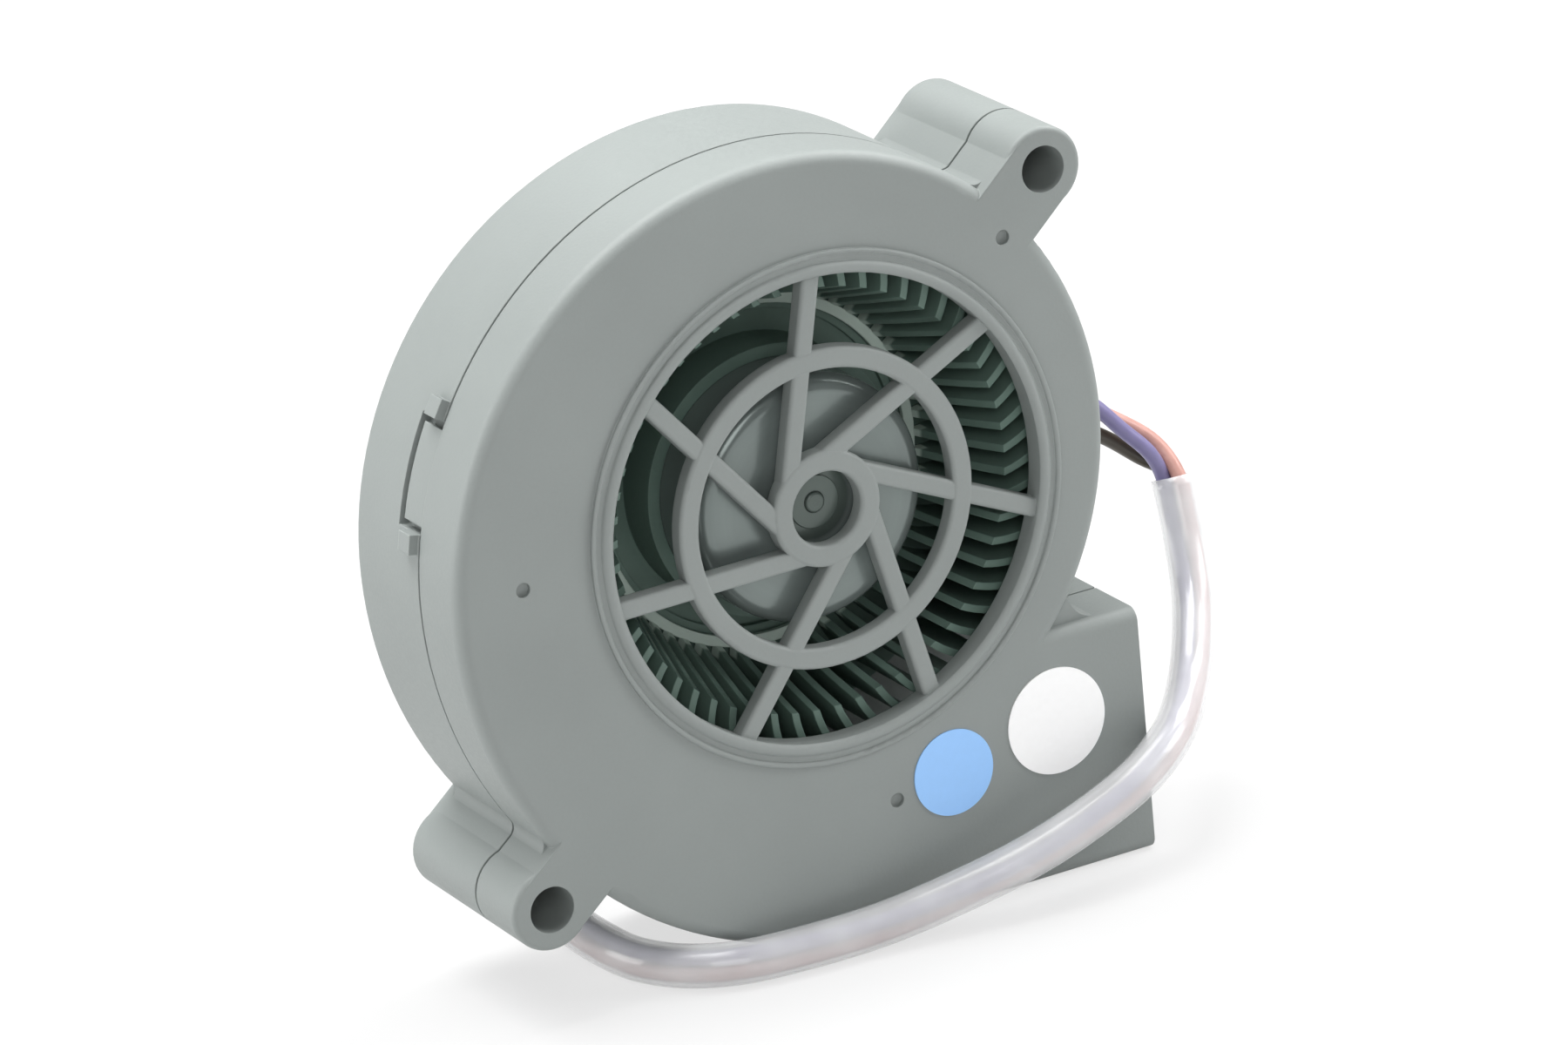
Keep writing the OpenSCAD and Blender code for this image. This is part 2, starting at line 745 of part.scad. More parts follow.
module stator_core() color(steel) upright()
    translate([0, 0, stator_z]) linear_extrude(stator_top - stator_z) core_outline();

// Plastic cap on one end of the core, with a fence that keeps the coils in
module insulator(z, fence_z) {
    translate([0, 0, z]) linear_extrude(insulator_t) core_outline();
    translate([0, 0, fence_z]) linear_extrude(fence_h + insulator_t) intersection() {
        core_outline();
        difference() {
            circle(fence_r1);
            circle(fence_r0);
        }
    }
}

module front_insulator() color(natural_nylon) upright() insulator(stator_top, stator_top);

// Rear cap, with an arm for each of the windings' pins
module rear_insulator() color(natural_nylon) upright() {
    insulator(stator_z - insulator_t, stator_z - coil_end);
    difference() {
        for (a = pin_angles) rotate(a) translate([core_r + yoke_t / 2, -pin_arm / 2, stator_z - insulator_t])
            cube([yoke_t / 2 + pin_out + pin_arm / 2, pin_arm, insulator_t]);
        pin_holes();
    }
}

// One coil for each tooth, wound over the insulators
module stator_windings() color(copper) upright() {
    inner_h = stator_top - stator_z + 2 * (insulator_t + coil_gap);
    inner_w = tooth_w + 2 * coil_gap;
    outer_h = stator_top - stator_z + 2 * coil_end;
    middle = (stator_z + stator_top) / 2;
    for (a = pole_angles) rotate(a) translate([coil_r0, 0, middle]) rotate([90, 0, 90])
        linear_extrude(coil_r1 - coil_r0) difference() {
            coil_outline(coil_side, outer_h / 2);
            square([inner_w, inner_h], center = true);
        }
}

// Rectangle with round corners, for the section of a coil
module coil_outline(w, h) {
    square(2 * [w, h - coil_corner], center = true);
    square(2 * [w - coil_corner, h], center = true);
    for (x = [-1, 1], y = [-1, 1]) translate([x * (w - coil_corner), y * (h - coil_corner)])
        circle(coil_corner);
}

// Pins that join the windings to the board
module winding_pins() color(brass) upright()
    for (a = pin_angles) rotate(a) translate([pin_r, 0, board_z - pin_under])
        cylinder(d = pin_d, h = stator_z - board_z + pin_under);

module pin_holes() {
    for (a = pin_angles) rotate(a) translate([pin_r, 0, 0])
        cylinder(d = pin_d + 2 * seat_gap, h = casing_depth);
}

module circuit_board() color(board_green) upright() difference() {
    ring(holder_r + seat_gap, board_r, board_z, board_top);
    pin_holes();
}

// A component that lies on the board at a direction
module on_board(angle, size) {
    rotate(angle) translate([part_r - size.x / 2, -size.y / 2, board_top]) cube(size);
}

module driver_chip() color([0.1, 0.1, 0.11]) upright() on_board(90, chip);

module hall_sensor() color([0.12, 0.12, 0.13]) upright() on_board(0, hall);

module board_capacitors() color([0.7, 0.6, 0.45]) upright()
    for (a = capacitor_angles) on_board(a, capacitor);

// Wire from the board through the channel and the free air to the sleeve, and on to the connector
module wire(bow, index) {
    z = channel_y + (1 - index) * wire_pitch;
    start = channel_x + channel_side + wire_d / 2;
    inside = [for (b = wire_bend) [start + b.x, -wire_z - b.y, z]];
    exit = [scroll_r0 + wire_exit, -wire_z, z];
    free = [for (b = bow) sleeve_start + b];
    offset = tail_offsets[index];
    tail = sleeve_end + [tail_gap, offset.x, offset.y];
    plug = [connector_face - seat_gap, connector_y + (index - 1) * terminal_pitch, connector_wire_z];
    straight = [tail_straight, 0, 0];
    swept(concat([[start, -board_z + solder_gap, z]], inside, [exit], free), wire_d, 8);
    swept([tail, tail + straight, (tail + plug) / 2, plug - straight, plug], wire_d, 8);
}

module wire_violet() color([0.4, 0.36, 0.62]) wire(violet_bow, 0);

module wire_red() color([0.8, 0.3, 0.22]) wire(red_bow, 1);

module wire_black() color([0.12, 0.11, 0.1]) wire(black_bow, 2);

module lead_sleeve() color([0.9, 0.9, 0.93]) swept(sleeve_route, sleeve_d, 10);

// Plug housing with a cavity for each terminal, a grip groove across its top and a latch
module lead_connector() color(natural_nylon) translate([connector_face, connector_y, base_y]) {
    cavity = terminal + 2 * seat_gap;
    difference() {
        translate([0, -connector.y / 2, 0]) cube(connector);
        for (k = [-1:1]) translate([connector.x - terminal_depth, k * terminal_pitch - cavity / 2,
            (connector.z - cavity) / 2]) cube([terminal_depth + cut, cavity, cavity]);
        translate([grip_x, -connector.y / 2 - cut, connector.z - grip_depth])
            cube([grip_w, connector.y + 2 * cut, grip_depth + cut]);
    }
    translate([connector.x - latch_edge, latch.y / 2, connector.z]) rotate([90, 0, 0])
        linear_extrude(latch.y) polygon([[0, 0], [latch.x, 0], [0, latch.z]]);
}

// Crimp terminals: open tubes in the plug's cavities
module connector_terminals() color(brass)
    for (k = [-1:1]) translate([connector_face + connector.x - terminal_depth,
        connector_y + k * terminal_pitch - terminal / 2, connector_wire_z - terminal / 2]) difference() {
        cube([terminal_depth - terminal_inset, terminal, terminal]);
        translate([crimp_length, terminal_t, terminal_t])
            cube([terminal_depth, terminal - 2 * terminal_t, terminal - 2 * terminal_t]);
    }

module sticker(out, angle, d) {
    rotate(angle) translate([bead_r + out, 0, casing_depth]) cylinder(d = d, h = sticker_t);
}

module blue_sticker() color([0.48, 0.7, 0.98]) upright() sticker(blue_out, blue_angle, blue_d);

module white_sticker() color([0.97, 0.97, 0.97]) upright() sticker(white_out, white_angle, white_d);

front_cover();
rear_case();
impeller();
rotor_cup();
rotor_magnet();
shaft();
oil_washer();
shaft_clip();
bearing_tube();
sleeve_bearing();
thrust_pad();
stator_core();
front_insulator();
rear_insulator();
stator_windings();
winding_pins();
circuit_board();
driver_chip();
hall_sensor();
board_capacitors();
wire_violet();
wire_red();
wire_black();
lead_sleeve();
lead_connector();
connector_terminals();
blue_sticker();
white_sticker();
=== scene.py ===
import math

import bpy
from bpy.props import FloatProperty, FloatVectorProperty, IntProperty, PointerProperty
from mathutils import Matrix, Vector


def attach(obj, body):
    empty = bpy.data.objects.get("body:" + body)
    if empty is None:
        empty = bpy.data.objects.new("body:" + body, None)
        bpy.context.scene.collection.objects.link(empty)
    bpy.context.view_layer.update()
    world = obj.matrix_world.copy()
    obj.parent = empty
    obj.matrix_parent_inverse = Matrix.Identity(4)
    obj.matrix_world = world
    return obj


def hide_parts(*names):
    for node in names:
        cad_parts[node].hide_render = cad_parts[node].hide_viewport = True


bl_info = {
    "name": "Blower Fan",
    "version": (1, 0, 0),
    "blender": (4, 5, 0),
    "location": "View3D > Sidebar > Blower Fan",
    "description": "Dresses a small centrifugal blower with its lead, materials, light and camera",
    "category": "Object",
}

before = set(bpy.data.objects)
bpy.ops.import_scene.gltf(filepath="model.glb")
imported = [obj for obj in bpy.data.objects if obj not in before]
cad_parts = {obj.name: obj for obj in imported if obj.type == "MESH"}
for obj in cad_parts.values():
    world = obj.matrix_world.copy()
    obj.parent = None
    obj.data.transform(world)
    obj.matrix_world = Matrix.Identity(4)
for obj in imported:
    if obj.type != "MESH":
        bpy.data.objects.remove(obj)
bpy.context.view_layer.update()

MM = 0.001


def colour_property(name, value, text):
    return FloatVectorProperty(name=name, description=text, default=value, size=3, min=0, max=1,
                               subtype="COLOR")


def level_property(name, value, text):
    return FloatProperty(name=name, description=text, default=value, min=0)


class FanFinish(bpy.types.PropertyGroup):
    """Colours and surface of the fan's pieces"""

    casing: colour_property("Casing", (0.25, 0.273, 0.265), "Moulded grey of the casing")
    blades: colour_property("Blades", (0.126, 0.19, 0.16), "Dark plastic of the impeller")
    # Painted highlight: the ring at the roots of the blades is the impeller's own dark plastic, given this
    # paler colour where light falls on it
    rim: colour_property("Root ring", (0.5, 0.6, 0.54), "Paler ring at the roots of the blades")
    cup: colour_property("Rotor cup", (0.2, 0.235, 0.225), "Drawn steel of the rotor cup")
    # Painted shade: shaft and collar drawn dark for the shade in the hole at the hub
    oiled: colour_property("Shaded hub", (0.1, 0.125, 0.113), "Shaded steel of shaft and collar")
    steel: colour_property("Steel", (0.58, 0.58, 0.59), "Bare steel of clip and core")
    magnet: colour_property("Magnet", (0.075, 0.075, 0.085), "Bonded ferrite of the rotor's magnet")
    nylon: colour_property("Nylon", (0.68, 0.66, 0.59), "Natural nylon of insulators, washer and plug")
    copper: colour_property("Copper", (0.58, 0.24, 0.09), "Enamelled wire of the coils")
    brass: colour_property("Brass", (0.72, 0.55, 0.22), "Brass of bearing tube, pins and terminals")
    bronze: colour_property("Bronze", (0.42, 0.25, 0.11), "Sintered bronze of the bearing")
    board: colour_property("Board", (0.015, 0.13, 0.045), "Solder resist of the circuit board")
    resin: colour_property("Resin", (0.016, 0.016, 0.018), "Black resin of chip and sensor")
    blue: colour_property("Blue sticker", (0.31, 0.56, 0.95), "Film of the blue sticker")
    white: colour_property("White sticker", (0.95, 0.95, 0.95), "Film of the white sticker")
    grain: FloatProperty(name="Grain", description="Size of the moulded grain", default=0.35 * MM,
                         min=0.05 * MM, max=2 * MM, unit="LENGTH")
    edge: FloatProperty(name="Edge", description="Radius by which sharp edges look rounded",
                        default=0.18 * MM, min=0, max=1 * MM, unit="LENGTH")


class FanLead(bpy.types.PropertyGroup):
    """Sizes of the lead"""

    wire: FloatProperty(name="Wire", description="Diameter of a wire", default=1.45 * MM, unit="LENGTH")
    sleeve: FloatProperty(name="Sleeve", description="Outer diameter of the sleeve", default=4.1 * MM,
                          unit="LENGTH")
    wall: FloatProperty(name="Wall", description="Thickness of the sleeve's wall", default=0.4 * MM,
                        unit="LENGTH")
    bundle: FloatProperty(name="Bundle", description="Distance of the wires from the sleeve's middle",
                          default=0.86 * MM, unit="LENGTH")
    sides: IntProperty(name="Sides", description="Facets round the sleeve", default=28, min=8, max=64)
    violet: colour_property("Violet", (0.195, 0.175, 0.335), "Insulation of the violet wire")
    red: colour_property("Red", (0.52, 0.28, 0.24), "Insulation of the red wire")
    black: colour_property("Black", (0.06, 0.05, 0.036), "Insulation of the black wire")
    tube: colour_property("Tube", (0.88, 0.885, 0.9), "Soft tube over the wires")


class FanLight(bpy.types.PropertyGroup):
    """Level of the studio light"""

    ambient: level_property("Ambient", 0.2, "Strength of the surrounding light")
    key: level_property("Key", 6.6, "Power of the light above, in watts")
    side: level_property("Side", 3.6, "Power of the light to the left, in watts")
    fill: level_property("Fill", 2.4, "Power of the light in front, in watts")
    spark: level_property("Spark", 3.2, "Power of the light ahead to the right, in watts")
    edge: level_property("Edge", 5.0, "Power of the light above to the right, in watts")
    floor: colour_property("Floor", (0.62, 0.62, 0.62), "Pale floor")


def point(x, y, z):
    return Vector((x, y, z)) * MM


# Underside of the outlet, depth of the casing and end of the outlet.
# These and the lengths below are in millimetres, apart from those said to be in metres
BASE = -41.9
DEPTH = 20.3
OUTLET = 31
# Route of the sleeve: distance from the outlet's end, depth in twentieths of the casing,
# height above the base
SLEEVE_SHAPE = (
    (14.5, -3.7, 28.7), (14.4, -4.7, 26), (14.1, -5.9, 23.1), (12.7, -8.9, 19), (10.4, -12.3, 16.3),
    (7.4, -16, 13.8), (1.8, -21.9, 11.9), (-3.4, -24.4, 9.8), (-9.9, -25.4, 7.6), (-16.5, -25.2, 5.5),
    (-23.5, -24.2, 3.7), (-31, -23.3, 2.4), (-39, -22.7, 2.1), (-45.5, -21.6, 2.1), (-49.5, -19, 2.1),
    (-52, -15, 2.1), (-52.8, -10, 2.1), (-52.8, -4.2, 2.1), (-51.3, 1.7, 2.1), (-47, 6.9, 2.1),
    (-40.5, 10, 2.1), (-29, 10.8, 2.1))
SLEEVE_ROUTE = [point(OUTLET + x, y * DEPTH / 20, BASE + z) for x, y, z in SLEEVE_SHAPE]

# Each wire: height in the channel, free bow from the sleeve's start, place round the bundle in degrees,
# place in the plug
WIRES = {
    "violet": (-1, ((-12.4, 2.4, 11.9), (-8, 1.1, 9.4), (-4.8, 0.4, 5.9), (-2.3, -0.2, 3)), 190, -2.4),
    "red": (-2.5, ((-12.4, 2.6, 10), (-8.1, 2.7, 8.5), (-4.2, 2.2, 6.2), (-0.7, 1.2, 3.2)), 70, 0),
    "black": (-4, ((-12.4, 2.6, 8.1), (-8.7, 2.9, 6.6), (-5.1, 3.1, 4.4), (-2, 2.6, 1.9)), 310, 2.4),
}
# Turn of the bundle at shares of the sleeve's length, in degrees; its end comes from the plug
TURNS = ((0, 0), (0.12, -40), (0.36, -120), (0.66, -60))
# Way of a wire through the channel, seen from above, and where it leaves the case
CHANNEL = ((7.215, -3.05), (7.415, -2.075), (8.615, -1.275), (15.215, -1.275), (22, -1.275))
WIRE_EXIT = (29.4, -1.275)
# Middle of the plug's wire side
PLUG_FACE = 18
PLUG_Y = 10.962
PLUG_Z = -39.4
# Direction from the sleeve's middle to the violet wire at its far end
VIOLET_END = (0, -0.87, 0.5)
# Straight lengths of a wire behind the sleeve and before the plug
AFTER_SLEEVE = 2.5
BEFORE_PLUG = 3
# Steps along the sleeve and along a wire, which takes every fourth point of the sleeve
SLEEVE_STEP = 1
WIRE_STEP = 0.8
HELD_EVERY = 4

# Painted highlight at the roots of the blades, a paler zone where light falls on the ring there: radius and
# depth from the mounting face, each with its soft edge
ROOT_HIGHLIGHT_RADIUS = (15.6, 15.7, 17.6, 17.8)
ROOT_HIGHLIGHT_DEPTH = (6.2, 6.3, 7.4, 7.8)
# Radius of the cup's collar, drawn dark as painted shade in the hole at the hub, with its soft edge
HUB_SHADE_RADIUS = (3.5, 3.9)
# Circle on which the capacitors lie, and the distance from it at which their tinned ends start
CAPACITOR_CIRCLE = 7.3
CAPACITOR_CAP = (0.6, 0.68)
# Darker and paler tone of their fired body
CERAMIC = ((0.4, 0.28, 0.15, 1.0), (0.5, 0.37, 0.22, 1.0))
# Thickness of a sheet of the stator core
SHEET = 0.5

# Camera solved from the photograph
CAMERA_PLACE = (-322.27, -634.59, 256.3)
CAMERA_RIGHT = (0.869, -0.4867, -0.0893)
CAMERA_BACK = (-0.4308, -0.8328, 0.3476)
CAMERA_LENS = 189.03
CAMERA_SENSOR = 36

# Each lamp: size and place in metres; all face the frame's origin
LAMPS = {
    "key": (0.5, (-0.12, 0.12, 0.62)),
    "side": (0.5, (-0.76, 0.3, 0.14)),
    "fill": (0.5, (-0.32, -0.8, 0.42)),
    "spark": (0.35, (0.68, -0.34, 0.45)),
    "edge": (0.4, (0.6, 0.1, 0.6)),
}
# Half the floor's width in metres, and its gap under the base in millimetres
FLOOR_REACH = 3.0
FLOOR_GAP = 0.02
# Share of plain white in what the camera and reflections see of the floor
FLOOR_GLOW = 0.68


def smooth_line(points, step):
    """Points at about equal steps on a smooth curve through the given ones"""
    ends = [2 * points[0] - points[1]] + list(points) + [2 * points[-1] - points[-2]]
    line = []
    for a, b, c, d in zip(ends, ends[1:], ends[2:], ends[3:]):
        t1 = max((b - a).length, 1e-9) ** 0.5
        t2 = t1 + max((c - b).length, 1e-9) ** 0.5
        t3 = t2 + max((d - c).length, 1e-9) ** 0.5
        count = max(2, round((c - b).length / step))
        for i in range(count):
            t = t1 + (t2 - t1) * i / count
            p = a * ((t1 - t) / t1) + b * (t / t1)
            q = b * ((t2 - t) / (t2 - t1)) + c * ((t - t1) / (t2 - t1))
            r = c * ((t3 - t) / (t3 - t2)) + d * ((t - t2) / (t3 - t2))
            u = p * ((t2 - t) / t2) + q * (t / t2)
            v = q * ((t3 - t) / (t3 - t1)) + r * ((t - t1) / (t3 - t1))
            line.append(u * ((t2 - t) / (t2 - t1)) + v * ((t - t1) / (t2 - t1)))
    return line + [points[-1].copy()]


def carried_frames(line, first):
    """A pair of directions across the line at each of its points, carried along without twist"""
    last = len(line) - 1
    tangents = [(line[min(i + 1, last)] - line[max(i - 1, 0)]).normalized() for i in range(last + 1)]
    side = (first - first.dot(tangents[0]) * tangents[0]).normalized()
    frames = []
    for i, tangent in enumerate(tangents):
        if i:
            side = tangents[i - 1].rotation_difference(tangent) @ side
            side = (side - side.dot(tangent) * tangent).normalized()
        frames.append((side, tangent.cross(side)))
    return frames


def node(tree, kind, inputs=None, **properties):
    """Adds a shader node; an input is given as a value or as the socket that feeds it"""
    made = tree.nodes.new(kind)
    for key, value in properties.items():
        setattr(made, key, value)
    for key, value in (inputs or {}).items():
        if isinstance(value, bpy.types.NodeSocket):
            tree.links.new(value, made.inputs[key])
        else:
            made.inputs[key].default_value = value
    return made


def maths(tree, operation, a, b=0.0, clamp=False):
    return node(tree, "ShaderNodeMath", {0: a, 1: b}, operation=operation, use_clamp=clamp).outputs[0]


def ramp(tree, value, low, high, to_low=0.0, to_high=1.0):
    """Value carried from one range to another, held at its ends"""
    return node(tree, "ShaderNodeMapRange", {"Value": value, "From Min": low, "From Max": high,
                                             "To Min": to_low, "To Max": to_high}).outputs["Result"]


def band(tree, value, limits):
    """Mask of a band: limits are where it starts, is full, still is full and ends, in millimetres"""
    start, full, still, end = (limit * MM for limit in limits)
    return maths(tree, "MULTIPLY", ramp(tree, value, start, full), ramp(tree, value, end, still))


def new_group(name, inputs, outputs):
    """An empty node group with the given sockets: inputs have values, outputs have kinds"""
    tree = bpy.data.node_groups.new(name, "ShaderNodeTree")
    for key, value in inputs.items():
        tree.interface.new_socket(key, in_out="INPUT", socket_type="NodeSocketFloat").default_value = value
    for key, kind in outputs.items():
        tree.interface.new_socket(key, in_out="OUTPUT", socket_type=kind)
    return tree, tree.nodes.new("NodeGroupInput").outputs, tree.nodes.new("NodeGroupOutput")


def finish_group(tree, out, results):
    for key, socket in results.items():
        tree.links.new(socket, out.inputs[key])
    return tree


def axis_place(tree):
    """Distance from the fan axis and depth in front of the mounting face"""
    parts = node(tree, "ShaderNodeSeparateXYZ", {
        "Vector": node(tree, "ShaderNodeTexCoord").outputs["Object"]}).outputs
    squares = maths(tree, "ADD", maths(tree, "MULTIPLY", parts["X"], parts["X"]),
                    maths(tree, "MULTIPLY", parts["Z"], parts["Z"]))
    return maths(tree, "SQRT", squares), maths(tree, "MULTIPLY", parts["Y"], -1.0)


def moulded_group():
    """Moulded plastic: fine grain over softened edges, broad unevenness, and edges drawn paler, partly as
    wear and partly as painted highlights
    """
    found = bpy.data.node_groups.get("Moulded")
    if found:
        return found
    tree, given, out = new_group("Moulded", {"Size": 0.35 * MM, "Depth": 0.01 * MM, "Edge": 0.18 * MM}, {
        "Tone": "NodeSocketFloat", "Rub": "NodeSocketFloat", "Rough": "NodeSocketFloat",
        "Normal": "NodeSocketVector"})
    place = node(tree, "ShaderNodeTexCoord").outputs["Object"]
    scale = maths(tree, "DIVIDE", 1.0, given["Size"])
    fine = node(tree, "ShaderNodeTexNoise", {"Vector": place, "Scale": scale, "Detail": 2.0}).outputs["Fac"]
    broad = node(tree, "ShaderNodeTexNoise", {"Vector": place, "Scale": 60.0, "Detail": 3.0}).outputs["Fac"]
    soft = node(tree, "ShaderNodeBevel", {"Radius": given["Edge"]}, samples=6).outputs["Normal"]
    flat = node(tree, "ShaderNodeNewGeometry").outputs["Normal"]
    turn = node(tree, "ShaderNodeVectorMath", {0: soft, 1: flat}, operation="DOT_PRODUCT").outputs["Value"]
    # Paler at edges, convex and hollow alike: partly wear, partly painted highlight along the edges
    wear_and_highlight_mask = maths(tree, "MULTIPLY", ramp(tree, turn, 0.995, 0.75), ramp(tree, broad, 0.35, 0.65))
    bump = node(tree, "ShaderNodeBump", {"Height": fine, "Distance": given["Depth"], "Normal": soft})
    tone = maths(tree, "ADD", maths(tree, "MULTIPLY", broad, 0.7), maths(tree, "MULTIPLY", fine, 0.3))
    return finish_group(tree, out, {
        "Tone": ramp(tree, tone, 0.3, 0.7), "Rub": wear_and_highlight_mask, "Rough": ramp(tree, fine, 0.3, 0.7, 0.46, 0.6),
        "Normal": bump.outputs["Normal"]})


def turned_group():
    """Metal turned or drawn about the fan axis: fine rings, with a soft edge"""
    found = bpy.data.node_groups.get("Turned")
    if found:
        return found
    tree, given, out = new_group("Turned", {"Pitch": 0.2 * MM, "Depth": 0.004 * MM, "Edge": 0.12 * MM}, {
        "Tone": "NodeSocketFloat", "Rough": "NodeSocketFloat", "Normal": "NodeSocketVector"})
    place = node(tree, "ShaderNodeTexCoord").outputs["Object"]
    radius, depth = axis_place(tree)
    rings = node(tree, "ShaderNodeCombineXYZ", {"X": radius, "Y": depth}).outputs[0]
    scale = maths(tree, "DIVIDE", 1.0, given["Pitch"])
    fine = node(tree, "ShaderNodeTexNoise", {"Vector": rings, "Scale": scale, "Detail": 3.0},
                noise_dimensions="2D").outputs["Fac"]
    broad = node(tree, "ShaderNodeTexNoise", {"Vector": place, "Scale": 140.0,
                                              "Detail": 2.0}).outputs["Fac"]
    soft = node(tree, "ShaderNodeBevel", {"Radius": given["Edge"]}, samples=6).outputs["Normal"]
    bump = node(tree, "ShaderNodeBump", {"Height": fine, "Distance": given["Depth"], "Normal": soft})
    return finish_group(tree, out, {
        "Tone": ramp(tree, maths(tree, "ADD", fine, broad), 0.7, 1.3),
        "Rough": ramp(tree, broad, 0.3, 0.7, 0.26, 0.42), "Normal": bump.outputs["Normal"]})


def wound_group():
    """Rows of enamelled wire, wound across each tooth; the tone is darker in the valleys between rows, as
    painted shade
    """
    found = bpy.data.node_groups.get("Wound")
    if found:
        return found
    tree, given, out = new_group("Wound", {"Pitch": 0.22 * MM}, {
        "Tone": "NodeSocketFloat", "Normal": "NodeSocketVector"})
    parts = node(tree, "ShaderNodeSeparateXYZ", {
        "Vector": node(tree, "ShaderNodeTexCoord").outputs["Object"]}).outputs
    reach = maths(tree, "MAXIMUM", maths(tree, "ABSOLUTE", parts["X"]), maths(tree, "ABSOLUTE", parts["Z"]))
    turns = maths(tree, "MULTIPLY", maths(tree, "DIVIDE", reach, given["Pitch"]), 2 * math.pi)
    wave = maths(tree, "MULTIPLY", maths(tree, "ADD", maths(tree, "SINE", turns), 1.0), 0.5)
    bump = node(tree, "ShaderNodeBump", {"Height": wave, "Distance": 0.06 * MM})
    return finish_group(tree, out, {"Tone": wave, "Normal": bump.outputs["Normal"]})


def shade(colour, factor):
    return tuple(min(1.0, c * factor) for c in colour) + (1.0,)


def blank_material(name, **values):
    """A new material and its shader; values are set on the shader's own sockets"""
    material = bpy.data.materials.new(name)
    material.use_nodes = True
    tree = material.node_tree
    shader = tree.nodes["Principled BSDF"]
    for key, value in values.items():
        shader.inputs[key.replace("_", " ")].default_value = value
    return material, tree, shader


def add_group(tree, group, **inputs):
    return node(tree, "ShaderNodeGroup", inputs, node_tree=group).outputs


def mix(tree, factor, a, b):
    made = node(tree, "ShaderNodeMix", data_type="RGBA")
    tree.links.new(factor, made.inputs["Factor"])
    for socket, value in ((made.inputs[6], a), (made.inputs[7], b)):
        if isinstance(value, bpy.types.NodeSocket):
            tree.links.new(value, socket)
        else:
            socket.default_value = value
    return made.outputs[2]


def moulded_material(name, colour, size, depth, edge, rub=1.35, **values):
    material, tree, shader = blank_material(name, **values)
    effect = add_group(tree, moulded_group(), Size=size, Depth=depth, Edge=edge)
    body = mix(tree, effect["Tone"], shade(colour, 0.95), shade(colour, 1.05))
    # Edges drawn paler by the rub factor: partly wear, partly painted highlight
    tree.links.new(mix(tree, effect["Rub"], body, shade(colour, rub)), shader.inputs["Base Color"])
    tree.links.new(effect["Rough"], shader.inputs["Roughness"])
    tree.links.new(effect["Normal"], shader.inputs["Normal"])
    return material


def turned_material(name, colour, pitch, depth, **values):
    material, tree, shader = blank_material(name, **values)
    effect = add_group(tree, turned_group(), Pitch=pitch, Depth=depth)
    tree.links.new(mix(tree, effect["Tone"], shade(colour, 0.9), shade(colour, 1.08)),
                   shader.inputs["Base Color"])
    tree.links.new(effect["Rough"], shader.inputs["Roughness"])
    tree.links.new(effect["Normal"], shader.inputs["Normal"])
    return material


def dress(material, *names):
    """Gives CAD nodes a material"""
    for name in names:
        mesh_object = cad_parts[name]
        mesh_object.data.materials.clear()
        mesh_object.data.materials.append(material)


class FAN_OT_camera(bpy.types.Operator):
    """Clear the start-up objects and set up the camera at the photograph's viewing angle"""

    bl_idname = "fan.camera"
    bl_label = "Camera"

    def execute(self, context):
        for name in ("Cube", "Light", "Camera"):
            spare = bpy.data.objects.get(name)
            if spare:
                bpy.data.objects.remove(spare)
        camera = bpy.data.objects.new("camera", bpy.data.cameras.new("camera"))
        context.scene.collection.objects.link(camera)
        camera.data.sensor_fit = "HORIZONTAL"
        camera.data.sensor_width = CAMERA_SENSOR
        camera.data.lens = CAMERA_LENS
        right = Vector(CAMERA_RIGHT).normalized()
        back = Vector(CAMERA_BACK)
        back = (back - back.dot(right) * right).normalized()
        axes = Matrix((right, back.cross(right), back)).transposed().to_4x4()
        camera.matrix_world = Matrix.Translation(point(*CAMERA_PLACE)) @ axes
        context.scene.camera = camera
        return {"FINISHED"}


def insulation(name, colour):
    """Smooth soft plastic of a wire, faintly mottled"""
    material, tree, shader = blank_material(name, Specular_IOR_Level=0.5, IOR=1.5)
    place = node(tree, "ShaderNodeTexCoord").outputs["Object"]
    tone = node(tree, "ShaderNodeTexNoise", {"Vector": place, "Scale": 900.0, "Detail": 2.0}).outputs["Fac"]
    bump = node(tree, "ShaderNodeBump", {"Height": tone, "Distance": 0.01 * MM})
    tree.links.new(mix(tree, tone, shade(colour, 0.88), shade(colour, 1.12)), shader.inputs["Base Color"])
    tree.links.new(ramp(tree, tone, 0.3, 0.7, 0.32, 0.46), shader.inputs["Roughness"])
    tree.links.new(bump.outputs["Normal"], shader.inputs["Normal"])
    return material


def bundle_turn(share, last_turn):
    """Turn of the bundle of wires at a share of the sleeve's length, in degrees"""
    stops = TURNS + ((1, last_turn),)
    for (a, low), (b, high) in zip(stops, stops[1:]):
        if share <= b:
            t = (share - a) / (b - a)
            return low + (high - low) * t * t * (3 - 2 * t)
    return last_turn


def wire_line(name, sleeve_line, frames, last_turn, lead):
    """Middle line of a wire from the board through the channel and the sleeve to the plug"""
    height, bow, place, plug = WIRES[name]
    inside = [point(x, y, height) for x, y in CHANNEL + (WIRE_EXIT,)]
    free = [SLEEVE_ROUTE[0] + point(*p) for p in bow]
    held = []
    last = len(sleeve_line) - 1
    for i in range(0, last + 1, HELD_EVERY):
        angle = math.radians(place + bundle_turn(i / last, last_turn))
        side, up = frames[i]
        held.append(sleeve_line[i] + lead.bundle * (math.cos(angle) * side + math.sin(angle) * up))
    end = point(PLUG_FACE, PLUG_Y + plug, PLUG_Z)
    out = held[-1] + point(AFTER_SLEEVE, 0, 0)
    tail = [out, (out + end) / 2, end - point(BEFORE_PLUG, 0, 0), end]
    return smooth_line(inside + free + held + tail, WIRE_STEP * MM)


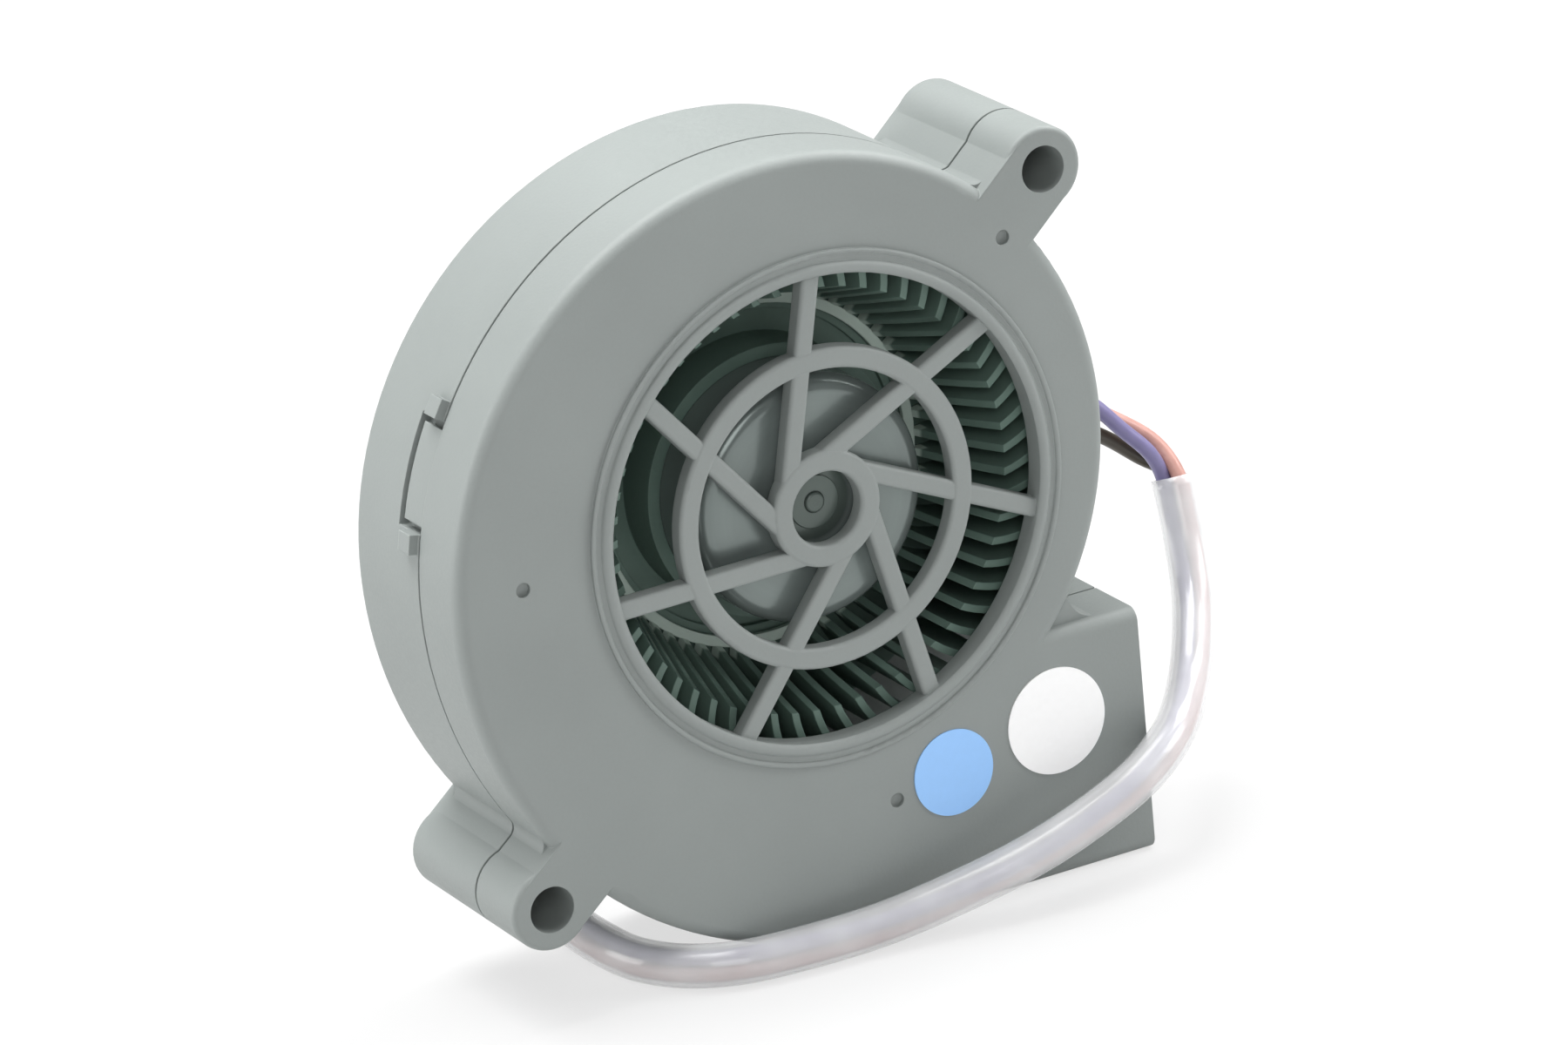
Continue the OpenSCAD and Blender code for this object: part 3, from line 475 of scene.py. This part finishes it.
def tube_mesh(name, line, frames, outer, inner, sides):
    """A hollow tube with open ends along a line"""
    count = len(line)
    verts, faces = [], []
    for radius in (outer, inner):
        for p, (side, up) in zip(line, frames):
            for j in range(sides):
                a = 2 * math.pi * j / sides
                verts.append(p + radius * (math.cos(a) * side + math.sin(a) * up))
    shell = count * sides
    for i in range(count - 1):
        for j in range(sides):
            a, b = i * sides + j, i * sides + (j + 1) % sides
            faces.append((a, b, b + sides, a + sides))
            faces.append((shell + a, shell + a + sides, shell + b + sides, shell + b))
    for i, flip in ((0, False), (count - 1, True)):
        for j in range(sides):
            a, b = i * sides + j, i * sides + (j + 1) % sides
            rim = (a, shell + a, shell + b, b)
            faces.append(rim[::-1] if flip else rim)
    mesh = bpy.data.meshes.new(name)
    mesh.from_pydata([tuple(v) for v in verts], [], faces)
    mesh.polygons.foreach_set("use_smooth", [f < 2 * (count - 1) * sides for f in range(len(faces))])
    mesh.update()
    made = bpy.data.objects.new(name, mesh)
    bpy.context.scene.collection.objects.link(made)
    return made


class FAN_OT_lead(bpy.types.Operator):
    """Lay the three wires and the soft tube over them"""

    bl_idname = "fan.lead"
    bl_label = "Lead"

    def execute(self, context):
        lead = context.scene.fan_lead
        line = smooth_line(SLEEVE_ROUTE, SLEEVE_STEP * MM)
        frames = carried_frames(line, Vector((1, 0, 0)))
        side, up = frames[-1]
        goal = Vector(VIOLET_END)
        turned = math.degrees(math.atan2(goal.dot(up), goal.dot(side))) - WIRES["violet"][2]
        before = TURNS[-1][1]
        last_turn = (turned - before + 180) % 360 - 180 + before
        for name in WIRES:
            self.add_wire(name, wire_line(name, line, frames, last_turn, lead), lead)
        self.add_sleeve(line, frames, lead)
        return {"FINISHED"}

    def add_wire(self, name, line, lead):
        curve = bpy.data.curves.new("wire_" + name + "_line", "CURVE")
        curve.dimensions = "3D"
        curve.bevel_depth = lead.wire / 2
        curve.bevel_resolution = 4
        curve.use_fill_caps = True
        spline = curve.splines.new("POLY")
        spline.points.add(len(line) - 1)
        for place, p in zip(spline.points, line):
            place.co = (*p, 1)
        spline.use_smooth = True
        wire = bpy.data.objects.new("lead_wire_" + name, curve)
        bpy.context.scene.collection.objects.link(wire)
        curve.materials.append(insulation("wire_" + name, getattr(lead, name)))
        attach(wire, "housing")
        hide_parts("wire_" + name)

    def add_sleeve(self, line, frames, lead):
        outer = lead.sleeve / 2
        sleeve = tube_mesh("lead_tube", line, frames, outer, outer - lead.wall, lead.sides)
        material, tree, shader = blank_material("soft_tube", Specular_IOR_Level=0.8, IOR=1.5,
                                                Coat_Weight=0.6, Coat_Roughness=0.1)
        place = node(tree, "ShaderNodeTexCoord").outputs["Object"]
        cloud = node(tree, "ShaderNodeTexNoise", {"Vector": place, "Scale": 160.0,
                                                  "Detail": 2.0}).outputs["Fac"]
        tree.links.new(mix(tree, cloud, shade(lead.tube, 0.94), shade(lead.tube, 1.06)),
                       shader.inputs["Base Color"])
        tree.links.new(ramp(tree, cloud, 0.3, 0.7, 0.16, 0.26), shader.inputs["Roughness"])
        tree.links.new(ramp(tree, cloud, 0.3, 0.7, 0.36, 0.44), shader.inputs["Alpha"])
        sleeve.data.materials.append(material)
        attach(sleeve, "housing")
        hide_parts("lead_sleeve")


class FAN_OT_casing(bpy.types.Operator):
    """Dress the two halves of the casing"""

    bl_idname = "fan.casing"
    bl_label = "Casing"

    def execute(self, context):
        finish = context.scene.fan_finish
        grey = moulded_material("casing_plastic", finish.casing, finish.grain, 0.012 * MM, finish.edge,
                                rub=1.6, Specular_IOR_Level=0.42)
        dress(grey, "front_cover", "rear_case")
        return {"FINISHED"}


class FAN_OT_impeller(bpy.types.Operator):
    """Dress the impeller"""

    bl_idname = "fan.impeller"
    bl_label = "Impeller"

    def execute(self, context):
        finish = context.scene.fan_finish
        dress(self.plastic_with_root_highlight(finish), "impeller")
        return {"FINISHED"}

    def plastic_with_root_highlight(self, finish):
        """Dark plastic with a painted highlight at the roots of the blades, and edges drawn paler, partly
        as wear and partly as painted highlights
        """
        material, tree, shader = blank_material("blade_plastic", Specular_IOR_Level=0.35)
        effect = add_group(tree, moulded_group(), Size=finish.grain, Depth=0.008 * MM, Edge=finish.edge)
        radius, depth = axis_place(tree)
        # Painted highlight: mask of the ring at the blade roots, drawn in the paler root colour
        ring = maths(tree, "MULTIPLY", band(tree, radius, ROOT_HIGHLIGHT_RADIUS), band(tree, depth, ROOT_HIGHLIGHT_DEPTH))
        body = mix(tree, effect["Tone"], shade(finish.blades, 0.9), shade(finish.blades, 1.1))
        # Edges drawn paler: partly wear, partly painted highlight
        body = mix(tree, effect["Rub"], body, shade(finish.blades, 1.4))
        tree.links.new(mix(tree, ring, body, shade(finish.rim, 1)), shader.inputs["Base Color"])
        tree.links.new(effect["Rough"], shader.inputs["Roughness"])
        tree.links.new(effect["Normal"], shader.inputs["Normal"])
        return material


class FAN_OT_rotor(bpy.types.Operator):
    """Dress the rotor cup, its magnet and the shaft"""

    bl_idname = "fan.rotor"
    bl_label = "Rotor"

    def execute(self, context):
        finish = context.scene.fan_finish
        dress(self.drawn_steel(finish), "rotor_cup")
        # The shaft's dark colour is painted shade in the hole at the hub
        dress(turned_material("oiled_steel", finish.oiled, 0.3 * MM, 0.002 * MM, Metallic=0.3), "shaft")
        dress(turned_material("spring_steel", finish.steel, 0.12 * MM, 0.003 * MM, Metallic=1.0),
              "shaft_clip")
        dress(moulded_material("bonded_magnet", finish.magnet, 0.2 * MM, 0.02 * MM, finish.edge),
              "rotor_magnet")
        dress(moulded_material("washer_nylon", finish.nylon, 0.2 * MM, 0.006 * MM, finish.edge / 2),
              "oil_washer")
        return {"FINISHED"}

    def drawn_steel(self, finish):
        """Drawn steel with a smooth sheen; the collar is drawn dark as painted shade in the hole at the hub
        """
        material, tree, shader = blank_material("drawn_cup", Metallic=0.35)
        effect = add_group(tree, turned_group(), Pitch=1.6 * MM, Depth=0.003 * MM)
        radius, _ = axis_place(tree)
        body = mix(tree, effect["Tone"], shade(finish.cup, 0.94), shade(finish.cup, 1.06))
        # Painted shade: the collar inside the hub's hole drawn in the dark hub colour
        full, end = HUB_SHADE_RADIUS
        collar = ramp(tree, radius, end * MM, full * MM)
        tree.links.new(mix(tree, collar, body, shade(finish.oiled, 1)), shader.inputs["Base Color"])
        tree.links.new(ramp(tree, effect["Tone"], 0.0, 1.0, 0.17, 0.25), shader.inputs["Roughness"])
        tree.links.new(effect["Normal"], shader.inputs["Normal"])
        return material


class FAN_OT_motor(bpy.types.Operator):
    """Dress bearing, stator core, insulators and coils"""

    bl_idname = "fan.motor"
    bl_label = "Motor"

    def execute(self, context):
        finish = context.scene.fan_finish
        dress(turned_material("turned_brass", finish.brass, 0.15 * MM, 0.004 * MM, Metallic=1.0),
              "bearing_tube")
        dress(moulded_material("sintered_bronze", finish.bronze, 0.12 * MM, 0.02 * MM, finish.edge / 2,
                               Metallic=0.9), "sleeve_bearing")
        dress(moulded_material("motor_nylon", finish.nylon, 0.2 * MM, 0.006 * MM, finish.edge / 2),
              "front_insulator", "rear_insulator", "thrust_pad")
        dress(self.stacked_sheet(finish.steel), "stator_core")
        dress(self.wound_copper(finish.copper), "stator_windings")
        dress(turned_material("pin_brass", finish.brass, 0.1 * MM, 0.002 * MM, Metallic=1.0),
              "winding_pins")
        return {"FINISHED"}

    def stacked_sheet(self, colour):
        """Stack of punched steel sheets"""
        material, tree, shader = blank_material("stacked_sheet", Metallic=1.0)
        parts = node(tree, "ShaderNodeSeparateXYZ", {
            "Vector": node(tree, "ShaderNodeTexCoord").outputs["Object"]}).outputs
        layer = maths(tree, "FRACT", maths(tree, "DIVIDE", parts["Y"], SHEET * MM))
        gap = maths(tree, "PINGPONG", layer, 0.5)
        bump = node(tree, "ShaderNodeBump", {"Height": gap, "Distance": 0.05 * MM})
        tree.links.new(mix(tree, ramp(tree, gap, 0.0, 0.15), shade(colour, 0.45), shade(colour, 0.85)),
                       shader.inputs["Base Color"])
        tree.links.new(ramp(tree, gap, 0.0, 0.5, 0.55, 0.4), shader.inputs["Roughness"])
        tree.links.new(bump.outputs["Normal"], shader.inputs["Normal"])
        return material

    def wound_copper(self, colour):
        """Enamelled wire in rows, the valleys between them drawn darker as painted shade"""
        material, tree, shader = blank_material("wound_copper", Metallic=0.8)
        effect = add_group(tree, wound_group())
        # Painted shade: the valleys between the rows of wire drawn darker
        tree.links.new(mix(tree, effect["Tone"], shade(colour, 0.6), shade(colour, 1.15)),
                       shader.inputs["Base Color"])
        tree.links.new(ramp(tree, effect["Tone"], 0.0, 1.0, 0.4, 0.26), shader.inputs["Roughness"])
        tree.links.new(effect["Normal"], shader.inputs["Normal"])
        return material


class FAN_OT_board(bpy.types.Operator):
    """Dress the circuit board and what is on it"""

    bl_idname = "fan.board"
    bl_label = "Board"

    def execute(self, context):
        finish = context.scene.fan_finish
        material, tree, shader = blank_material("solder_resist", Specular_IOR_Level=0.5, Coat_Weight=0.3,
                                                Coat_Roughness=0.2)
        place = node(tree, "ShaderNodeTexCoord").outputs["Object"]
        turned = node(tree, "ShaderNodeMapping", {"Vector": place,
                                                  "Rotation": (math.pi / 2, 0, 0)}).outputs[0]
        tracks = node(tree, "ShaderNodeTexBrick", {"Vector": turned, "Scale": 420.0, "Mortar Size": 0.03})
        tone = maths(tree, "SUBTRACT", 1.0, tracks.outputs["Fac"])
        bump = node(tree, "ShaderNodeBump", {"Height": tone, "Distance": 0.02 * MM})
        tree.links.new(mix(tree, tone, shade(finish.board, 1.7), shade(finish.board, 1)),
                       shader.inputs["Base Color"])
        tree.links.new(ramp(tree, tone, 0.0, 1.0, 0.3, 0.4), shader.inputs["Roughness"])
        tree.links.new(bump.outputs["Normal"], shader.inputs["Normal"])
        dress(material, "circuit_board")
        dress(moulded_material("black_resin", finish.resin, 0.08 * MM, 0.006 * MM, finish.edge / 2, rub=2),
              "driver_chip", "hall_sensor")
        dress(self.capped_ceramic(finish.steel), "board_capacitors")
        return {"FINISHED"}

    def capped_ceramic(self, metal):
        """Fired body whose two ends, inside and outside the capacitors' circle, are tinned"""
        material, tree, shader = blank_material("capped_ceramic", Specular_IOR_Level=0.5)
        place = node(tree, "ShaderNodeTexCoord").outputs["Object"]
        radius, _ = axis_place(tree)
        off = maths(tree, "ABSOLUTE", maths(tree, "SUBTRACT", radius, CAPACITOR_CIRCLE * MM))
        start, full = CAPACITOR_CAP
        cap = ramp(tree, off, start * MM, full * MM)
        speck = node(tree, "ShaderNodeTexNoise", {"Vector": place, "Scale": 9000.0}).outputs["Fac"]
        body = mix(tree, speck, *CERAMIC)
        tree.links.new(mix(tree, cap, body, shade(metal, 1.1)), shader.inputs["Base Color"])
        tree.links.new(cap, shader.inputs["Metallic"])
        tree.links.new(ramp(tree, speck, 0.3, 0.7, 0.35, 0.5), shader.inputs["Roughness"])
        return material


class FAN_OT_connector(bpy.types.Operator):
    """Dress the plug and its terminals"""

    bl_idname = "fan.connector"
    bl_label = "Connector"

    def execute(self, context):
        finish = context.scene.fan_finish
        dress(moulded_material("plug_nylon", finish.nylon, 0.25 * MM, 0.006 * MM, finish.edge,
                               Specular_IOR_Level=0.45, Subsurface_Weight=0.1), "lead_connector")
        dress(moulded_material("terminal_brass", finish.brass, 0.2 * MM, 0.004 * MM, finish.edge / 2,
                               Metallic=1.0), "connector_terminals")
        return {"FINISHED"}


class FAN_OT_stickers(bpy.types.Operator):
    """Dress the two round stickers, which stay bare"""

    bl_idname = "fan.stickers"
    bl_label = "Stickers"

    def execute(self, context):
        finish = context.scene.fan_finish
        dress(self.film("blue_film", finish.blue, 0.42), "blue_sticker")
        dress(self.film("white_film", finish.white, 0.5), "white_sticker")
        return {"FINISHED"}

    def film(self, name, colour, rough):
        """Thin film with a faint grain and a slightly uneven gloss"""
        material, tree, shader = blank_material(name, Specular_IOR_Level=0.4)
        place = node(tree, "ShaderNodeTexCoord").outputs["Object"]
        grain = node(tree, "ShaderNodeTexNoise", {"Vector": place, "Scale": 1500.0,
                                                  "Detail": 4.0}).outputs["Fac"]
        bump = node(tree, "ShaderNodeBump", {"Height": grain, "Distance": 0.006 * MM})
        tree.links.new(mix(tree, grain, shade(colour, 0.97), shade(colour, 1.03)),
                       shader.inputs["Base Color"])
        tree.links.new(ramp(tree, grain, 0.3, 0.7, rough - 0.05, rough + 0.05), shader.inputs["Roughness"])
        tree.links.new(bump.outputs["Normal"], shader.inputs["Normal"])
        return material


class FAN_OT_stage(bpy.types.Operator):
    """Set up the floor and the studio light"""

    bl_idname = "fan.stage"
    bl_label = "Stage"

    def execute(self, context):
        light = context.scene.fan_light
        self.add_floor(light.floor)
        world = bpy.data.worlds.new("studio")
        world.use_nodes = True
        around = world.node_tree.nodes["Background"].inputs
        around["Color"].default_value = (1.0, 1.0, 1.0, 1.0)
        around["Strength"].default_value = light.ambient
        context.scene.world = world
        for name, (size, place) in LAMPS.items():
            self.add_lamp(name, getattr(light, name), size, place)
        context.scene.view_settings.view_transform = "Standard"
        return {"FINISHED"}

    def add_floor(self, colour):
        mesh = bpy.data.meshes.new("floor")
        height = (BASE - FLOOR_GAP) * MM
        corners = [(x * FLOOR_REACH, y * FLOOR_REACH, height)
                   for x, y in ((-1, -1), (1, -1), (1, 1), (-1, 1))]
        mesh.from_pydata(corners, [], [(0, 1, 2, 3)])
        floor = bpy.data.objects.new("floor", mesh)
        bpy.context.scene.collection.objects.link(floor)
        material, tree, shader = blank_material("pale_floor", Roughness=0.9, Specular_IOR_Level=0.1)
        place = node(tree, "ShaderNodeTexCoord").outputs["Object"]
        cloud = node(tree, "ShaderNodeTexNoise", {"Vector": place, "Scale": 3.0}).outputs["Fac"]
        tree.links.new(mix(tree, cloud, shade(colour, 0.99), shade(colour, 1.01)),
                       shader.inputs["Base Color"])
        glow = node(tree, "ShaderNodeEmission", {"Color": (1.0, 1.0, 1.0, 1.0), "Strength": 1.0})
        rays = node(tree, "ShaderNodeLightPath").outputs
        mirrored = maths(tree, "MAXIMUM", rays["Is Glossy Ray"], rays["Is Transmission Ray"])
        direct = maths(tree, "MAXIMUM", rays["Is Camera Ray"], mirrored)
        seen = maths(tree, "MULTIPLY", direct, FLOOR_GLOW)
        both = node(tree, "ShaderNodeMixShader", {0: seen, 1: shader.outputs[0], 2: glow.outputs[0]})
        tree.links.new(both.outputs[0], tree.nodes["Material Output"].inputs["Surface"])
        mesh.materials.append(material)

    def add_lamp(self, name, power, size, place):
        lamp = bpy.data.lights.new(name, "AREA")
        lamp.energy = power
        lamp.size = size
        made = bpy.data.objects.new(name, lamp)
        made.location = place
        made.rotation_euler = Vector(place).to_track_quat("Z", "Y").to_euler()
        bpy.context.scene.collection.objects.link(made)


OPERATORS = (FAN_OT_camera, FAN_OT_lead, FAN_OT_casing, FAN_OT_impeller, FAN_OT_rotor, FAN_OT_motor,
             FAN_OT_board, FAN_OT_connector, FAN_OT_stickers, FAN_OT_stage)


class FAN_PT_panel(bpy.types.Panel):
    """Steps that dress the fan"""

    bl_idname = "FAN_PT_panel"
    bl_label = "Blower Fan"
    bl_space_type = "VIEW_3D"
    bl_region_type = "UI"
    bl_category = "Blower Fan"

    def draw(self, context):
        for operator in OPERATORS:
            self.layout.operator(operator.bl_idname)
        for group in (context.scene.fan_finish, context.scene.fan_lead, context.scene.fan_light):
            box = self.layout.box()
            for key in group.bl_rna.properties.keys():
                if key not in ("rna_type", "name"):
                    box.prop(group, key)


CLASSES = (FanFinish, FanLead, FanLight) + OPERATORS + (FAN_PT_panel,)


def register():
    for kind in CLASSES:
        bpy.utils.register_class(kind)
    bpy.types.Scene.fan_finish = PointerProperty(type=FanFinish)
    bpy.types.Scene.fan_lead = PointerProperty(type=FanLead)
    bpy.types.Scene.fan_light = PointerProperty(type=FanLight)


def unregister():
    del bpy.types.Scene.fan_light, bpy.types.Scene.fan_lead, bpy.types.Scene.fan_finish
    for kind in reversed(CLASSES):
        bpy.utils.unregister_class(kind)


def main():
    register()
    bpy.ops.fan.camera()
    bpy.ops.fan.lead()
    bpy.ops.fan.casing()
    bpy.ops.fan.impeller()
    bpy.ops.fan.rotor()
    bpy.ops.fan.motor()
    bpy.ops.fan.board()
    bpy.ops.fan.connector()
    bpy.ops.fan.stickers()
    bpy.ops.fan.stage()
    bpy.context.view_layer.update()


if __name__ == "__main__":
    main()
